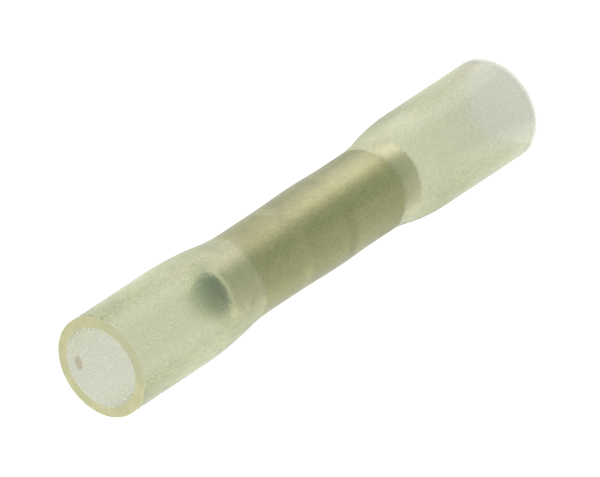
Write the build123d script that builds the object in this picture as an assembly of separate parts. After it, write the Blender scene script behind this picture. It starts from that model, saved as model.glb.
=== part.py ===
from build123d import *
import os

# Heat shrink butt connector, in millimetres. It stands on one open end, with +Z along its axis and
# the origin at the middle of the lower rim. The sleeve is wide and open at both ends, and its neck
# is shrunk onto a metal crimp barrel.

# Sleeve
sleeve_length = 42.0
mouth_diameter = 7.25
mouth_wall = 0.73
neck_wall = 0.82
lower_flare_length = 5.3
upper_flare_length = 7.5
lower_rim_bevel = 0.20
upper_rim_bevel = 0.10

# Share of a flare's length, from the neck, at which its curve turns over
flare_turn = 0.36

# Barrel
barrel_diameter = 4.40
barrel_wall = 0.62
barrel_length = 19.9
barrel_mouth_chamfer = 0.20
barrel_edge_bevel = 0.12

# Wire stop, a dimple that a round-nosed punch leaves in the barrel's back, half way along. Pressing
# it spreads the barrel a little there, and the neck with it.
stop_depth = 0.85
stop_punch_radius = 1.10
stop_lip_round = 0.15
stop_swell = 0.06
stop_swell_length = 5.6
stop_swell_taper = 0.9

# Fit of the barrel in the sleeve: how far its middle lies below the sleeve's, how far each of its
# ends stands out of the neck, and the gap that the shrinking leaves
barrel_drop = 0.05
lower_overhang = 2.9
upper_overhang = 4.0
shrink_clearance = 0.02

# Radii that follow from the sizes above
mouth_radius = mouth_diameter / 2
mouth_bore = mouth_radius - mouth_wall
barrel_radius = barrel_diameter / 2
barrel_bore = barrel_radius - barrel_wall
neck_bore = barrel_radius + shrink_clearance
neck_radius = neck_bore + neck_wall

# Heights that follow from the sizes above
barrel_middle = sleeve_length / 2 - barrel_drop
barrel_bottom = barrel_middle - barrel_length / 2
barrel_top = barrel_middle + barrel_length / 2
swell_bottom = barrel_middle - stop_swell_length / 2
swell_top = barrel_middle + stop_swell_length / 2
neck_bottom = barrel_bottom + lower_overhang
neck_top = barrel_top - upper_overhang
lower_flare_start = neck_bottom - lower_flare_length
upper_flare_end = neck_top + upper_flare_length


def flare(neck, mouth):
    """Two arcs, tangent to each other and upright at both ends, from the neck out to a mouth."""
    neck, mouth = Vector(*neck), Vector(*mouth)
    turn = neck + (mouth - neck) * flare_turn
    hollow = TangentArc(neck, turn, tangent=(0, mouth.Y - neck.Y))
    shoulder = TangentArc(turn, mouth, tangent=hollow % 1)
    return [hollow, shoulder]


def gripped_line(radius, bottom, top):
    """An upright line that swells beside the wire stop, as the barrel and the neck round it do."""
    crest = radius + stop_swell
    return Polyline(
        (radius, bottom),
        (radius, swell_bottom),
        (crest, swell_bottom + stop_swell_taper),
        (crest, swell_top - stop_swell_taper),
        (radius, swell_top),
        (radius, top),
    ).edges()


def sleeve_line(mouth, neck):
    """One side of the sleeve's wall, from the lower rim to the upper, with its radii at mouth and neck."""
    return [
        Line((mouth, 0), (mouth, lower_flare_start)),
        *flare((neck, neck_bottom), (mouth, lower_flare_start)),
        *gripped_line(neck, neck_bottom, neck_top),
        *flare((neck, neck_top), (mouth, upper_flare_end)),
        Line((mouth, upper_flare_end), (mouth, sleeve_length)),
    ]


def turned(inside, outside):
    """The wall between two lines in the XZ plane, closed by a flat rim at each end and swept round Z."""
    rims = [Line(inside[0] @ 0, outside[0] @ 0), Line(inside[-1] @ 1, outside[-1] @ 1)]
    return revolve(Plane.XZ * make_face([*inside, *outside, *rims]), Axis.Z)


def rim_edges(wall, end):
    """The inner and the outer circle of a turned wall's rim: end 0 is the lower one and -1 the upper."""
    return wall.edges().filter_by(GeomType.CIRCLE).group_by(Axis.Z)[end].sort_by(SortBy.RADIUS)


def heat_shrink_tube():
    """The insulating sleeve: one waisted wall, with an eased outer edge to each of its rims."""
    sleeve = turned(sleeve_line(mouth_bore, neck_bore), sleeve_line(mouth_radius, neck_radius))
    sleeve = chamfer(rim_edges(sleeve, 0)[-1], lower_rim_bevel)
    return chamfer(rim_edges(sleeve, -1)[-1], upper_rim_bevel)


def plain_barrel():
    """The barrel before its dimple: a tube with eased outer edges and countersunk mouths."""
    inside = gripped_line(barrel_bore, barrel_bottom, barrel_top)
    outside = gripped_line(barrel_radius, barrel_bottom, barrel_top)
    barrel = turned(inside, outside)
    for end in (0, -1):
        barrel = chamfer(rim_edges(barrel, end)[-1], barrel_edge_bevel)
        barrel = chamfer(rim_edges(barrel, end)[0], barrel_mouth_chamfer)
    return barrel


def crimp_barrel():
    """The metal barrel, with the wire stop dimpled into the side that faces +Y."""
    nose = Pos(0, barrel_radius + stop_punch_radius - stop_depth, barrel_middle)
    dimple = nose * Sphere(stop_punch_radius)
    bump = nose * Sphere(stop_punch_radius + barrel_wall)
    core = Pos(0, 0, barrel_middle) * Cylinder(barrel_radius, stop_swell_length)
    pressed = plain_barrel() + (bump & core) - dimple
    lip = pressed.edges().filter_by(GeomType.BSPLINE).sort_by(Axis.Y)[-1]
    return fillet(lip, stop_lip_round)


os.makedirs("parts", exist_ok=True)
export_step(heat_shrink_tube(), "parts/heat_shrink_tube.step")
export_step(crimp_barrel(), "parts/crimp_barrel.step")
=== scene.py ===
import math

import bpy
from mathutils import Matrix, Vector


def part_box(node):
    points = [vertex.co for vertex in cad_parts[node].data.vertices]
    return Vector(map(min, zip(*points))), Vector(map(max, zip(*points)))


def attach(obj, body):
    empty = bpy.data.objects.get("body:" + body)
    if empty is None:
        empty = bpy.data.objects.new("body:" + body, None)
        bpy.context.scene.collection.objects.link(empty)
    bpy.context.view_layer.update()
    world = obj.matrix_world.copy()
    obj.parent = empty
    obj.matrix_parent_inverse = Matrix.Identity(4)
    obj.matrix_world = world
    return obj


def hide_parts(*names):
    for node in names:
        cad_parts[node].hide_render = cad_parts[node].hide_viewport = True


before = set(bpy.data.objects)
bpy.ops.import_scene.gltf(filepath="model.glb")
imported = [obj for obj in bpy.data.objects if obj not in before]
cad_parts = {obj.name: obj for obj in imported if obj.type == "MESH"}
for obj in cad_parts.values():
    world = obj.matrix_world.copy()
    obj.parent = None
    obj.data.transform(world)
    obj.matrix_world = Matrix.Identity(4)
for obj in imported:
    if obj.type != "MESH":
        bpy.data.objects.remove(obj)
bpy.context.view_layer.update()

# Lengths are in metres, and the small ones are written in millimetres
MM = 0.001

# Photograph's frame in pixels, and the picture scale at the connector's middle
IMAGE_WIDTH = 600
PIXELS_PER_MM = 15.13

# Camera: how far away it stands, the nearest and the farthest that it sees, how far its line of sight
# leans from the connector's axis, which way the axis slopes in the picture, how far the connector's
# middle stands above the picture's centre, and its sensor's width as Blender takes it
CAMERA_DISTANCE = 1.4
CAMERA_REACH = (0.01, 20.0)
LEAN_FROM_AXIS = math.radians(48.0)
SLOPE_IN_PICTURE = math.radians(33.44)
MIDDLE_UP = 0.16 * MM
SENSOR = 36.0

# Lamps: two soft boxes at one distance, their sizes and the radiance of their faces
LAMP_DISTANCE = 0.5
KEY_SIZE = (0.12, 0.30)
KEY_RADIANCE = 4.0
FILL_SIZE = (0.35, 0.30)
FILL_RADIANCE = 2.4

# Sky and floor: the sky's strength as light and where it is mirrored, the floor's own colour, and what
# lifts it to white for the camera
SKY = 0.66
SKY_MIRRORED = 0.70
WHITE = (1, 1, 1, 1)
FLOOR_HALF_WIDTH = 4.0
FLOOR_COLOR = (0.86, 0.86, 0.86, 1)
FLOOR_LIFT = 0.6

# A count of a light path's bounces is compared with this, which lies between none and one
FIRST_BOUNCE = 0.5

# The floor as the connector mirrors it, by direction in degrees: 0 is in front, 90 is +X and 180 is
# behind. It is dark in front, bright beside the connector on +X, and between elsewhere.
# All of it is a painted reflection: the floor glows so for mirrored rays alone, which gives the metal its
# highlight streak and its dark band.
MIRRORED_PLAIN = (0.60, 0.61, 0.58, 1)
MIRRORED_BEHIND = (0.86, 0.87, 0.86)
MIRRORED_DARK = (0.34, 0.43, 0.33, 1)
DARK_HALF_ANGLE, DARK_EDGE = 28.0, 10.0
BRIGHT_TINT = (1.03, 1.0, 1.07)
BRIGHT_FROM, BRIGHT_RISE = 47.0, 8.0
BRIGHT_TO, BRIGHT_FALL = 104.0, 12.0
BEHIND_FROM, BEHIND_TO = 62.0, 120.0

# Straight under the connector, within this distance of its axis, the painted reflection of the floor is
# as it is behind
UNDERFOOT, UNDERFOOT_END = 5.0 * MM, 6.5 * MM

# At some distances from the connector's axis: the brightness of the floor seen through the sleeve, lower
# close under the connector as a painted shadow, and, for the painted reflection, the brightness of the
# bright side, how bright it is behind, and how dark the front is
SEEN_THROUGH = [(3.6 * MM, 0.64), (6 * MM, 0.705), (12 * MM, 0.765), (40 * MM, 0.765)]
BRIGHTNESS = [
    (9 * MM, 0.75), (12 * MM, 0.85), (14 * MM, 1.95), (16 * MM, 1.88),
    (20 * MM, 1.52), (29 * MM, 1.54), (32 * MM, 0.75), (37 * MM, 0.65),
]
BEHIND = [
    (10 * MM, 1.0), (13 * MM, 0.75), (17 * MM, 0.75), (20 * MM, 1.0), (38 * MM, 1.0), (43 * MM, 1.3),
]
DARKNESS = [
    (5 * MM, 0.0), (9 * MM, 0.5), (13 * MM, 0.75), (26 * MM, 1.0), (37 * MM, 1.0), (41 * MM, 0.2),
]

# Two pale strips on the floor, glowing for mirrored rays alone, one to each side, which the sleeve's skin
# mirrors as painted highlight lines along its wide ends and not along its neck
STRIP_AZIMUTH = 54.0
STRIP_HALF_WIDTH, STRIP_EDGE = 15.0, 8.0
STRIP_GLOW = (1.55, 1.55, 1.5, 1)
STRIPS_WITHIN, WITHIN_EDGE = 12 * MM, 1 * MM
STRIPS_BEYOND, BEYOND_EDGE = 39 * MM, 2 * MM

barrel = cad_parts["crimp_barrel"]
sleeve_low, sleeve_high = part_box("heat_shrink_tube")
middle = (sleeve_low + sleeve_high) / 2
length = sleeve_high.z - sleeve_low.z
barrel_low, barrel_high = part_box("crimp_barrel")
barrel_middle = (barrel_low.z + barrel_high.z) / 2
barrel_half_length = (barrel_high.z - barrel_low.z) / 2

# Barrel: its outside, its bore and its end bevels. Its dimple is given by the middle of the round punch
# that pressed it, and by a reach from there that holds all of it.
BARREL_RADIUS = 2.20 * MM
BORE_RADIUS = 1.58 * MM
END_BEVEL = 0.12 * MM
DIMPLE = (0, 2.45 * MM, barrel_middle)
DIMPLE_REACH = 1.3 * MM

# Sleeve, as the frame has it, drawn anew with more sides. The grip gap is how far the solid's bore
# stands off the barrel, and the wetting is how far it is moved in from there, a hair into the metal,
# because the adhesive leaves no air between them.
MOUTH_RADIUS = sleeve_high.x
MOUTH_WALL = 0.73 * MM
NECK_WALL = 0.82 * MM
GRIP_GAP = 0.02 * MM
NECK_RADIUS = BARREL_RADIUS + GRIP_GAP + NECK_WALL
WETTING = 0.06 * MM
LOWER_RIM_ROUND = 0.28 * MM
UPPER_RIM_ROUND = 0.06 * MM

# Flares, each from its mouth's height to its neck's. Its curve turns over at a share of its length, from
# the neck.
LOWER_NECK = barrel_low.z + 2.9 * MM
UPPER_NECK = barrel_high.z - 4.0 * MM
LOWER_FLARE = (LOWER_NECK - 5.3 * MM, LOWER_NECK)
UPPER_FLARE = (UPPER_NECK + 7.5 * MM, UPPER_NECK)
FLARE_TURN = 0.36

# Swelling of the neck beside the wire stop. Inside it follows the barrel, with tapered ends, and outside
# it is one soft wave, a little lower and longer.
SWELL = 0.06 * MM
SWELL_SPAN = (barrel_middle - 2.8 * MM, barrel_middle + 2.8 * MM)
SWELL_TAPER = 0.9 * MM
SKIN_SWELL = 0.07 * MM
SKIN_SWELL_SPAN = (barrel_middle - 5.15 * MM, barrel_middle + 2.65 * MM)

# Sleeve's mesh: its sides, the steps of an arc, and the angle past which an edge is shaded sharp
SIDES = 192
ARC_STEPS = 14
RIM_STEPS = 5
SHARP_ANGLE = math.radians(35)

# Layers of a noise, each finer than the last: as a rule, for finer patterns and for the finest
NOISE_LAYERS, FINER_LAYERS, FINEST_LAYERS = 2.0, 3.0, 4.0

# Plastic. Each pair of colours or of roughnesses runs with the grain or the mottle, between the two
# values of their noise that the spans give, and clouds add a little roughness. Clear is the share of
# light that passes in instead of scattering at the surface, and the tint deepens with the way through.
SKIN_COLORS = ((0.965, 0.972, 0.925, 1), (0.995, 0.998, 0.965, 1))
SKIN_ROUGH = (0.17, 0.24)
SKIN_CLEAR = 0.94
LINING_COLORS = ((0.945, 0.962, 0.947, 1), (0.96, 0.977, 0.962, 1))
LINING_ROUGH = (0.247, 0.257)
LINING_CLEAR = 0.91
CUT_COLORS = ((0.79, 0.795, 0.45, 1), (0.93, 0.885, 0.54, 1))
CUT_ROUGH = 0.5
CUT_CLEAR = 0.20
TINT = (0.94, 0.985, 0.2, 1)
TINT_DENSITY = 230.0
PLASTIC_IOR = 1.45
GRAIN_SCALE, GRAIN_SPAN = 9500.0, (0.40, 0.60)
GRAIN_BUMP = 0.05
MOTTLE_SCALE, MOTTLE_SPAN = 900.0, (0.36, 0.64)
CLOUD_SCALE = 500.0
CLOUD_ROUGH = 0.04
BUMP_DEPTH = 0.01 * MM

# The cut is darker on its -Y side, as painted shade, and turns so between these two places on Y
CUT_SHADE_COLOR = (0.757, 0.776, 0.483, 1)
CUT_SHADE_SPAN = (-1.6 * MM, -3.0 * MM)

# Speck of dirt on the lining, just inside the upper mouth. A noise makes its edge ragged, and it fades
# between two sums of that noise and the distance, in sizes of the speck.
SPECK = (1.06 * MM, 2.69 * MM, 41.05 * MM)
SPECK_SIZE = (0.46 * MM, 0.46 * MM, 0.34 * MM)
SPECK_COLOR = (0.72, 0.63, 0.54, 1)
SPECK_CLEAR = 0.70
SPECK_RAGGEDNESS = 1.6
SPECK_RAG_SCALE = 5000.0
SPECK_FADE = (1.95, 1.55)

# Metal. Each pair of colours runs with its mottle, or in the bore with its streaks. It is bare outside
# the neck, and dull and golden by flecks where the plastic touches it, which fades out just past the
# touch.
BARE_COLORS = ((0.725, 0.70, 0.585, 1), (0.875, 0.82, 0.72, 1))
DULL_COLORS = ((0.445, 0.43, 0.29, 1), (0.525, 0.505, 0.345, 1))
GOLDEN_COLORS = ((0.59, 0.565, 0.38, 1), (0.69, 0.66, 0.45, 1))
TOUCH_FADE = 0.5 * MM
METAL_MOTTLE_SCALE = 1500.0
FLECK_SCALE, FLECK_SPAN = 9000.0, (0.35, 0.65)
METAL_BUMP = 0.2
METAL_ROUGH = 0.32

# Its ends: the bevels, darkened as painted shade so that they catch less of the lamp's glint, and the
# flat faces. Each colour sets in at one distance from the barrel's end and is full at the next.
BEVEL_SHADE_COLOR = (0.56, 0.56, 0.44, 1)
BEVEL_FADE = (END_BEVEL + 0.02 * MM, END_BEVEL)
END_COLOR = (0.94, 0.95, 0.81, 1)
END_FADE = (0.012 * MM, 0.004 * MM)

# Its bore: hardly a mirror, streaked along its length and lighter towards -X, as painted light where the
# key lamp would reach into it. Towards each mouth, from the first depth up to the second, it turns pale
# and is no mirror, as painted light that leaves the depths dark as painted shade. The fades keep all this
# inside the bore and off the dimple.
BORE_FADE = (BORE_RADIUS + 0.10 * MM, BORE_RADIUS + 0.03 * MM)
DIMPLE_EDGE = 0.1 * MM
BORE_COLORS = ((0.40, 0.66, 0.50, 1), (0.96, 1.0, 0.93, 1))
BORE_MIRROR = 0.2
BORE_ROUGH = 0.5
BORE_MOUTH_LIGHT_COLOR = (0.90, 1.0, 0.85, 1)
BORE_MOUTH_LIGHT_DEPTHS = (2.6 * MM, 0.2 * MM)
STREAK_STRETCH = (1, 1, 0.3)
STREAK_SCALE = 2200.0
STREAK_SPAN = (0.70, 1.0)
PAINTED_LIGHT_SPAN = (0.7 * MM, -1.0 * MM)

# Camera's back and up. The connector stands on its end, so the camera is rolled to lay it across the
# picture.
back = Vector((0, -math.sin(LEAN_FROM_AXIS), math.cos(LEAN_FROM_AXIS)))
level_up = Vector((0, math.cos(LEAN_FROM_AXIS), math.sin(LEAN_FROM_AXIS)))
level_right = Vector((1, 0, 0))
up = math.cos(SLOPE_IN_PICTURE) * level_right - math.sin(SLOPE_IN_PICTURE) * level_up


def facing(direction, roll=None):
    """Rotation that makes an object look back along a direction, with its top towards roll if given."""
    if roll is None:
        return direction.to_track_quat("Z", "Y").to_matrix()
    return Matrix((roll.cross(direction), roll, direction)).transposed()


def make_camera():
    data = bpy.data.cameras.new("camera")
    data.sensor_width = SENSOR
    width_at_part = IMAGE_WIDTH / PIXELS_PER_MM * MM
    data.lens = SENSOR * CAMERA_DISTANCE / width_at_part
    data.clip_start, data.clip_end = CAMERA_REACH
    camera = bpy.data.objects.new("camera", data)
    aim = middle - up * MIDDLE_UP
    camera.matrix_world = Matrix.Translation(aim + back * CAMERA_DISTANCE) @ facing(back, up).to_4x4()
    bpy.context.scene.collection.objects.link(camera)
    bpy.context.scene.camera = camera


def soft_box(name, azimuth, elevation, size, radiance):
    """A lamp given by the radiance of its face. Azimuth 0 is the camera's side, and 90 is +X."""
    data = bpy.data.lights.new(name, "AREA")
    data.shape = "RECTANGLE"
    data.size, data.size_y = size
    data.energy = radiance * math.pi * size[0] * size[1]
    light = bpy.data.objects.new(name, data)
    turn, lift = math.radians(azimuth), math.radians(elevation)
    level = Vector((math.sin(turn), -math.cos(turn), 0)) * math.cos(lift)
    direction = level + Vector((0, 0, math.sin(lift)))
    place = Matrix.Translation(middle + direction * LAMP_DISTANCE)
    light.matrix_world = place @ facing(direction).to_4x4()
    bpy.context.scene.collection.objects.link(light)


def new_material(name):
    material = bpy.data.materials.new(name)
    material.use_nodes = True
    material.node_tree.nodes.clear()
    return material, material.node_tree


def add_node(tree, kind, inputs=None, **settings):
    """A shader node with its settings, its plain input values, and links for inputs given as sockets."""
    node = tree.nodes.new(kind)
    for name, value in settings.items():
        setattr(node, name, value)
    for name, value in (inputs or {}).items():
        if isinstance(value, bpy.types.NodeSocket):
            tree.links.new(value, node.inputs[name])
        else:
            node.inputs[name].default_value = value
    return node


def use_surface(tree, surface, volume=None):
    output = add_node(tree, "ShaderNodeOutputMaterial", {"Surface": surface})
    if volume is not None:
        tree.links.new(volume, output.inputs["Volume"])


def math_node(tree, operation, first, second=0.0):
    return add_node(tree, "ShaderNodeMath", {0: first, 1: second}, operation=operation).outputs[0]


def vector_math(tree, operation, first, second=(0, 0, 0)):
    return add_node(tree, "ShaderNodeVectorMath", {0: first, 1: second}, operation=operation)


def ramp_between(tree, value, low, high, change="SMOOTHSTEP"):
    """0 at low, 1 at high, and a change between them. Low may be the larger of the two."""
    node = add_node(
        tree,
        "ShaderNodeMapRange",
        {"Value": value, "From Min": low, "From Max": high, "To Min": 0.0, "To Max": 1.0},
        interpolation_type=change,
    )
    return node.outputs["Result"]


def soft_step(tree, value, place, edge):
    """A smooth change from 0 to 1 round a place, over an edge to each side. A negative edge turns it."""
    return ramp_between(tree, value, place - edge, place + edge)


def mixed_color(tree, factor, first, second):
    node = add_node(tree, "ShaderNodeMix", {0: factor, 6: first, 7: second}, data_type="RGBA")
    return node.outputs[2]


def mixed_number(tree, factor, first, second):
    node = add_node(tree, "ShaderNodeMix", {0: factor, 2: first, 3: second}, data_type="FLOAT")
    return node.outputs[0]


def along_stops(tree, value, stops):
    """A number that runs from stop to stop, each a place on the value and the number there."""
    places, numbers = zip(*stops)
    most = max(numbers)
    share = ramp_between(tree, value, places[0], places[-1], "LINEAR")
    node = add_node(tree, "ShaderNodeValToRGB", {"Fac": share})
    elements = node.color_ramp.elements
    while len(elements) < len(stops):
        elements.new(0.5)
    for element, place, number in zip(elements, places, numbers):
        element.position = (place - places[0]) / (places[-1] - places[0])
        element.color = (number / most,) * 3 + (1,)
    return math_node(tree, "MULTIPLY", node.outputs["Color"], most)


def scaled_color(tree, color, value, stops):
    """A colour times a number that runs from stop to stop."""
    scale = along_stops(tree, value, stops)
    node = add_node(tree, "ShaderNodeVectorMath", {0: color, "Scale": scale}, operation="SCALE")
    return node.outputs[0]


def noise(tree, position, scale, layers=NOISE_LAYERS):
    node = add_node(tree, "ShaderNodeTexNoise", {"Vector": position, "Scale": scale, "Detail": layers})
    return node.outputs["Fac"]


def bump_normal(tree, height, strength):
    inputs = {"Height": height, "Strength": strength, "Distance": BUMP_DEPTH}
    return add_node(tree, "ShaderNodeBump", inputs).outputs["Normal"]


def attribute(tree, name):
    return add_node(tree, "ShaderNodeAttribute", attribute_name=name).outputs["Fac"]


def arc(start, end, tangent, steps=ARC_STEPS):
    """Points of the arc from start that sets off along tangent and ends at end, without its start, and
    its last direction."""
    chord = end - start
    side = Vector((-tangent.y, tangent.x))
    bend = math.atan2(chord.dot(side), chord.dot(tangent))
    radius = chord.length / (2 * math.sin(bend))
    points = []
    for step in range(1, steps + 1):
        turned = 2 * bend * step / steps
        points.append(start + radius * (math.sin(turned) * tangent + (1 - math.cos(turned)) * side))
    return points, math.cos(2 * bend) * tangent + math.sin(2 * bend) * side


def flare(neck, mouth):
    """Two arcs, tangent to each other and upright at both ends, from the neck out to a mouth."""
    turn = neck + (mouth - neck) * FLARE_TURN
    hollow, direction = arc(neck, turn, Vector((0, 1 if mouth.y > neck.y else -1)))
    shoulder, _ = arc(turn, mouth, direction)
    return [neck, *hollow, *shoulder]


def wetted_reach(heights):
    """How far past the neck's end the plastic still touches the metal, before the flare lifts it off."""
    mouth, neck = heights
    rise = (MOUTH_RADIUS - MOUTH_WALL - NECK_RADIUS + NECK_WALL + WETTING) * FLARE_TURN
    run = (mouth - neck) * FLARE_TURN
    bend_radius = (rise**2 + run**2) / (2 * rise)
    return math.sqrt(2 * bend_radius * (WETTING - GRIP_GAP))


def gripped(tree, height):
    """1 where the sleeve touches the barrel, fading to 0 just outside it."""
    bottom = LOWER_FLARE[1] - wetted_reach(LOWER_FLARE)
    top = UPPER_FLARE[1] + wetted_reach(UPPER_FLARE)
    above = ramp_between(tree, height, bottom - TOUCH_FADE, bottom)
    below = ramp_between(tree, height, top + TOUCH_FADE, top)
    return math_node(tree, "MULTIPLY", above, below)


def bore_swell(radius):
    """The bore's swelling round the barrel's, with tapered ends."""
    low, high = SWELL_SPAN
    steps = [(low, 0), (low + SWELL_TAPER, SWELL), (high - SWELL_TAPER, SWELL), (high, 0)]
    return [Vector((radius + rise, height)) for height, rise in steps]


def skin_swell(radius):
    """The outside's swelling, one soft wave."""
    low, high = SKIN_SWELL_SPAN
    points = []
    for step in range(ARC_STEPS + 1):
        share = step / ARC_STEPS
        rise = SKIN_SWELL * (1 - math.cos(2 * math.pi * share)) / 2
        points.append(Vector((radius + rise, low + (high - low) * share)))
    return points


def sleeve_line(mouth, neck, swell):
    """One side of the wall as points of radius and height, from the lower flare's wide end to the
    upper's."""
    lower = flare(Vector((neck, LOWER_FLARE[1])), Vector((mouth, LOWER_FLARE[0])))
    upper = flare(Vector((neck, UPPER_FLARE[1])), Vector((mouth, UPPER_FLARE[0])))
    return [*reversed(lower), *swell(neck), *upper]


def sleeve_outline():
    """The wall's closed section, each point with the kind of surface that leads on from it."""
    inner_radius = MOUTH_RADIUS - MOUTH_WALL
    outside = sleeve_line(MOUTH_RADIUS, NECK_RADIUS, skin_swell)
    inside = sleeve_line(inner_radius, NECK_RADIUS - NECK_WALL - WETTING, bore_swell)
    outward, upward = Vector((1, 0)), Vector((0, 1))
    lower_start = Vector((MOUTH_RADIUS - LOWER_RIM_ROUND, 0))
    lower_round, _ = arc(lower_start, Vector((MOUTH_RADIUS, LOWER_RIM_ROUND)), outward, RIM_STEPS)
    upper_start = Vector((MOUTH_RADIUS, length - UPPER_RIM_ROUND))
    upper_end = Vector((MOUTH_RADIUS - UPPER_RIM_ROUND, length))
    upper_round, _ = arc(upper_start, upper_end, upward, RIM_STEPS)
    section = [(Vector((inner_radius, 0)), "skin")]
    section += [(point, "skin") for point in [lower_start, *lower_round, *outside]]
    section += [(point, "cut") for point in [upper_start, *upper_round]]
    section += [(Vector((inner_radius, length)), "lining")]
    section += [(point, "lining") for point in reversed(inside)]
    return section


def make_sleeve():
    """The sleeve as a smooth turned wall, marked where it is cut and where it is lined."""
    section = sleeve_outline()
    count = len(section)
    vertices, faces, kinds = [], [], []
    for side in range(SIDES):
        angle = 2 * math.pi * side / SIDES
        for point, _ in section:
            vertices.append((point.x * math.cos(angle), point.x * math.sin(angle), point.y))
    for side in range(SIDES):
        here, there = side * count, (side + 1) % SIDES * count
        for index in range(count):
            after = (index + 1) % count
            faces.append((here + index, there + index, there + after, here + after))
            kinds.append(section[index][1])
    mesh = bpy.data.meshes.new("sleeve_wall")
    mesh.from_pydata(vertices, [], faces)
    for kind in ("lining", "cut"):
        mark = mesh.attributes.new(kind, "FLOAT", "FACE")
        mark.data.foreach_set("value", [float(name == kind) for name in kinds])
    mesh.shade_smooth()
    mesh.set_sharp_from_angle(angle=SHARP_ANGLE)
    wall = bpy.data.objects.new("sleeve_wall", mesh)
    bpy.context.scene.collection.objects.link(wall)
    mesh.materials.append(sleeve_material())
    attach(wall, "root")
    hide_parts("heat_shrink_tube")


def speck_mask(tree, position):
    """1 inside the ragged speck of dirt."""
    away = vector_math(tree, "SUBTRACT", position, SPECK).outputs[0]
    span = vector_math(tree, "LENGTH", vector_math(tree, "DIVIDE", away, SPECK_SIZE).outputs[0])
    rag = noise(tree, position, SPECK_RAG_SCALE, FINER_LAYERS)
    rags = math_node(tree, "MULTIPLY", rag, SPECK_RAGGEDNESS)
    return ramp_between(tree, math_node(tree, "ADD", span.outputs["Value"], rags), *SPECK_FADE)


def sleeve_material():
    """Translucent plastic: grained skin, frosted lining with a speck of dirt, and a matt, patchy cut,
    darker on its -Y side as painted shade.
    """
    material, tree = new_material("sleeve_plastic")
    position = add_node(tree, "ShaderNodeTexCoord").outputs["Object"]
    place = add_node(tree, "ShaderNodeSeparateXYZ", {"Vector": position})
    lining, cut = attribute(tree, "lining"), attribute(tree, "cut")
    speck = math_node(tree, "MULTIPLY", speck_mask(tree, position), lining)
    grain = noise(tree, position, GRAIN_SCALE)
    haze = ramp_between(tree, grain, *GRAIN_SPAN)
    patches = ramp_between(tree, noise(tree, position, MOTTLE_SCALE, FINEST_LAYERS), *MOTTLE_SPAN)
    # Painted shade on the cut, full towards -Y
    front = ramp_between(tree, place.outputs["Y"], *CUT_SHADE_SPAN)

    cut_color = mixed_color(tree, front, mixed_color(tree, patches, *CUT_COLORS), CUT_SHADE_COLOR)
    color = mixed_color(
        tree, lining, mixed_color(tree, haze, *SKIN_COLORS), mixed_color(tree, haze, *LINING_COLORS)
    )
    color = mixed_color(tree, cut, color, cut_color)
    color = mixed_color(tree, speck, color, SPECK_COLOR)

    rough = mixed_number(
        tree, lining, mixed_number(tree, haze, *SKIN_ROUGH), mixed_number(tree, haze, *LINING_ROUGH)
    )
    rough = mixed_number(tree, cut, rough, CUT_ROUGH)
    cloud = math_node(tree, "MULTIPLY", noise(tree, position, CLOUD_SCALE, FINER_LAYERS), CLOUD_ROUGH)
    rough = math_node(tree, "ADD", rough, cloud)

    clear = mixed_number(tree, lining, SKIN_CLEAR, LINING_CLEAR)
    clear = mixed_number(tree, cut, clear, CUT_CLEAR)
    clear = mixed_number(tree, speck, clear, SPECK_CLEAR)

    bump = bump_normal(tree, grain, GRAIN_BUMP)
    skin = add_node(
        tree,
        "ShaderNodeBsdfPrincipled",
        {
            "Base Color": color,
            "Roughness": rough,
            "IOR": PLASTIC_IOR,
            "Transmission Weight": clear,
            "Normal": bump,
        },
    )
    tint = add_node(tree, "ShaderNodeVolumeAbsorption", {"Color": TINT, "Density": TINT_DENSITY})
    use_surface(tree, skin.outputs["BSDF"], tint.outputs["Volume"])
    return material


def bore_mask(tree, position):
    """1 in the barrel's bore, and 0 outside and in the dimple."""
    across = vector_math(tree, "LENGTH", vector_math(tree, "MULTIPLY", position, (1, 1, 0)).outputs[0])
    within = ramp_between(tree, across.outputs["Value"], *BORE_FADE)
    from_dimple = vector_math(tree, "DISTANCE", position, DIMPLE)
    off_dimple = soft_step(tree, from_dimple.outputs["Value"], DIMPLE_REACH, DIMPLE_EDGE)
    return math_node(tree, "MULTIPLY", within, off_dimple)


def bore_color(tree, position, place, mouth_light):
    """Streaked along the bore, lighter and lighter towards -X as painted light, and pale at its mouths as
    painted light.
    """
    along = vector_math(tree, "MULTIPLY", position, STREAK_STRETCH)
    # Painted light: lighter towards -X, where the key lamp would reach into the bore
    painted_light_side = ramp_between(tree, place.outputs["X"], *PAINTED_LIGHT_SPAN, "LINEAR")
    streak = math_node(tree, "ADD", noise(tree, along.outputs[0], STREAK_SCALE, FINER_LAYERS), painted_light_side)
    color = mixed_color(tree, ramp_between(tree, streak, *STREAK_SPAN), *BORE_COLORS)
    return mixed_color(tree, mouth_light, color, BORE_MOUTH_LIGHT_COLOR)


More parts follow.
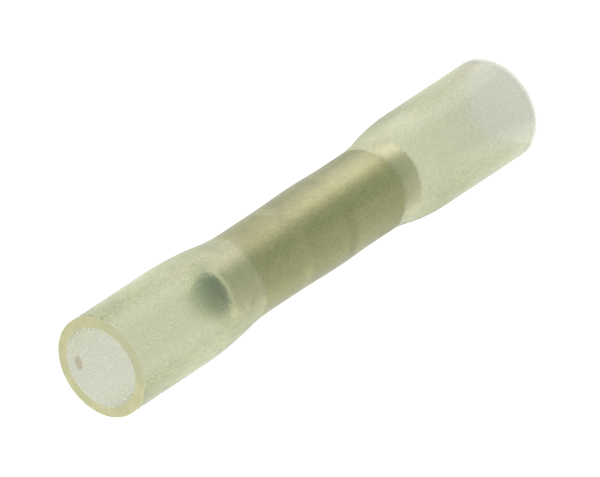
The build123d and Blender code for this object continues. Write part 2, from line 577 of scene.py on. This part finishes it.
def barrel_material():
    """Tin plate: warm and flecked where the plastic touches it, pale where it is bare, darkened on its
    end bevels as painted shade, and streaked in the bore, pale towards its mouths as painted light and
    dark in its depths as painted shade."""
    material, tree = new_material("tinned_metal")
    position = add_node(tree, "ShaderNodeTexCoord").outputs["Object"]
    place = add_node(tree, "ShaderNodeSeparateXYZ", {"Vector": position})
    mottle = noise(tree, position, METAL_MOTTLE_SCALE, FINEST_LAYERS)
    fleck = ramp_between(tree, noise(tree, position, FLECK_SCALE), *FLECK_SPAN)
    from_middle = math_node(tree, "SUBTRACT", place.outputs["Z"], barrel_middle)
    depth = math_node(tree, "SUBTRACT", barrel_half_length, math_node(tree, "ABSOLUTE", from_middle))
    in_bore = bore_mask(tree, position)
    # Painted light near each mouth of the bore, fading to its darker depths
    mouth_light = ramp_between(tree, depth, *BORE_MOUTH_LIGHT_DEPTHS)

    touched = mixed_color(
        tree, fleck, mixed_color(tree, mottle, *DULL_COLORS), mixed_color(tree, mottle, *GOLDEN_COLORS)
    )
    bare = mixed_color(tree, mottle, *BARE_COLORS)
    tone = mixed_color(tree, gripped(tree, place.outputs["Z"]), bare, touched)
    # Painted shade on the end bevels
    tone = mixed_color(tree, ramp_between(tree, depth, *BEVEL_FADE), tone, BEVEL_SHADE_COLOR)
    tone = mixed_color(tree, ramp_between(tree, depth, *END_FADE), tone, END_COLOR)
    tone = mixed_color(tree, in_bore, tone, bore_color(tree, position, place, mouth_light))

    bump = bump_normal(tree, fleck, METAL_BUMP)
    metal = add_node(
        tree,
        "ShaderNodeBsdfPrincipled",
        {
            "Base Color": tone,
            "Metallic": mixed_number(tree, in_bore, 1.0, mixed_number(tree, mouth_light, BORE_MIRROR, 0.0)),
            "Roughness": mixed_number(tree, in_bore, METAL_ROUGH, BORE_ROUGH),
            "Normal": bump,
        },
    )
    use_surface(tree, metal.outputs["BSDF"])
    return material


def painted_floor_reflection(tree, spot, away, by_skin):
    """The floor's painted reflection, a glow that mirrored rays alone see: its brightness goes by the
    direction from the connector, and the strips are mirrored by the skin alone."""
    place = add_node(tree, "ShaderNodeSeparateXYZ", {"Vector": spot})
    front = math_node(tree, "MULTIPLY", place.outputs["Y"], -1.0)
    turn = math_node(tree, "ARCTAN2", place.outputs["X"], front)
    turn = math_node(tree, "MULTIPLY", turn, math.degrees(1))
    aside = math_node(tree, "ABSOLUTE", turn)
    dark = soft_step(tree, aside, DARK_HALF_ANGLE, -DARK_EDGE)
    dark = math_node(tree, "MULTIPLY", dark, along_stops(tree, away, DARKNESS))
    behind = ramp_between(tree, aside, BEHIND_FROM, BEHIND_TO)
    behind = math_node(tree, "MAXIMUM", behind, ramp_between(tree, away, UNDERFOOT_END, UNDERFOOT))
    rising = soft_step(tree, turn, BRIGHT_FROM, BRIGHT_RISE)
    falling = soft_step(tree, turn, BRIGHT_TO, -BRIGHT_FALL)
    bright = math_node(tree, "MULTIPLY", rising, falling)
    off_strip = math_node(tree, "ABSOLUTE", math_node(tree, "SUBTRACT", aside, STRIP_AZIMUTH))
    strips = soft_step(tree, off_strip, STRIP_HALF_WIDTH, -STRIP_EDGE)
    near = soft_step(tree, away, STRIPS_WITHIN, -WITHIN_EDGE)
    far = soft_step(tree, away, STRIPS_BEYOND, BEYOND_EDGE)
    strips = math_node(tree, "MULTIPLY", strips, math_node(tree, "MAXIMUM", near, far))
    strips = math_node(tree, "MULTIPLY", strips, by_skin)
    color = mixed_color(tree, behind, MIRRORED_PLAIN, scaled_color(tree, MIRRORED_BEHIND, away, BEHIND))
    color = mixed_color(tree, dark, color, MIRRORED_DARK)
    color = mixed_color(tree, bright, color, scaled_color(tree, BRIGHT_TINT, away, BRIGHTNESS))
    color = mixed_color(tree, strips, color, STRIP_GLOW)
    return add_node(tree, "ShaderNodeEmission", {"Color": color, "Strength": 1.0}).outputs[0]


def floor_material():
    """Matt and pale. The camera sees it white, and the sleeve shows it even, but darker close under the
    connector as a painted shadow. What is mirrored of it is a painted reflection that goes by direction."""
    material, tree = new_material("pale_floor")
    path = add_node(tree, "ShaderNodeLightPath")
    matt = add_node(tree, "ShaderNodeBsdfDiffuse", {"Color": FLOOR_COLOR})
    lift = add_node(tree, "ShaderNodeEmission", {"Color": WHITE, "Strength": FLOOR_LIFT})
    lifted = add_node(tree, "ShaderNodeAddShader", {0: matt.outputs[0], 1: lift.outputs[0]})
    spot = add_node(tree, "ShaderNodeNewGeometry").outputs["Position"]
    away = vector_math(tree, "LENGTH", spot).outputs["Value"]
    # Painted shadow: the floor seen through the sleeve is darker close under the connector
    seen = along_stops(tree, away, SEEN_THROUGH)
    through = add_node(tree, "ShaderNodeEmission", {"Color": WHITE, "Strength": seen})
    mirrored = math_node(tree, "GREATER_THAN", path.outputs["Glossy Depth"], FIRST_BOUNCE)
    by_skin = math_node(tree, "LESS_THAN", path.outputs["Transmission Depth"], FIRST_BOUNCE)
    shown = matt.outputs[0]
    for chance, shader in [
        (path.outputs["Is Transmission Ray"], through.outputs[0]),
        (mirrored, painted_floor_reflection(tree, spot, away, by_skin)),
        (path.outputs["Is Camera Ray"], lifted.outputs[0]),
    ]:
        shown = add_node(tree, "ShaderNodeMixShader", {0: chance, 1: shown, 2: shader}).outputs[0]
    use_surface(tree, shown)
    return material


def make_floor():
    half = FLOOR_HALF_WIDTH
    corners = [(-half, -half, 0), (half, -half, 0), (half, half, 0), (-half, half, 0)]
    mesh = bpy.data.meshes.new("floor")
    mesh.from_pydata(corners, [], [(0, 1, 2, 3)])
    mesh.materials.append(floor_material())
    floor = bpy.data.objects.new("floor", mesh)
    bpy.context.scene.collection.objects.link(floor)


def make_world():
    """An even sky, white to the camera."""
    world = bpy.data.worlds.new("studio")
    world.use_nodes = True
    tree = world.node_tree
    tree.nodes.clear()
    path = add_node(tree, "ShaderNodeLightPath")
    mirrored = math_node(tree, "GREATER_THAN", path.outputs["Glossy Depth"], FIRST_BOUNCE)
    level = mixed_number(tree, mirrored, SKY, SKY_MIRRORED)
    level = mixed_number(tree, path.outputs["Is Camera Ray"], level, 1.0)
    sky = add_node(tree, "ShaderNodeBackground", {"Color": WHITE, "Strength": level})
    add_node(tree, "ShaderNodeOutputWorld", {"Surface": sky.outputs[0]})
    bpy.context.scene.world = world


def dress(piece, material):
    """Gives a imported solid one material, in place of what it came with."""
    piece.data.materials.clear()
    piece.data.materials.append(material)


make_camera()
make_floor()
make_world()
soft_box("key", azimuth=62, elevation=18, size=KEY_SIZE, radiance=KEY_RADIANCE)
soft_box("fill", azimuth=-100, elevation=20, size=FILL_SIZE, radiance=FILL_RADIANCE)
make_sleeve()
dress(barrel, barrel_material())
bpy.context.scene.view_settings.view_transform = "Standard"
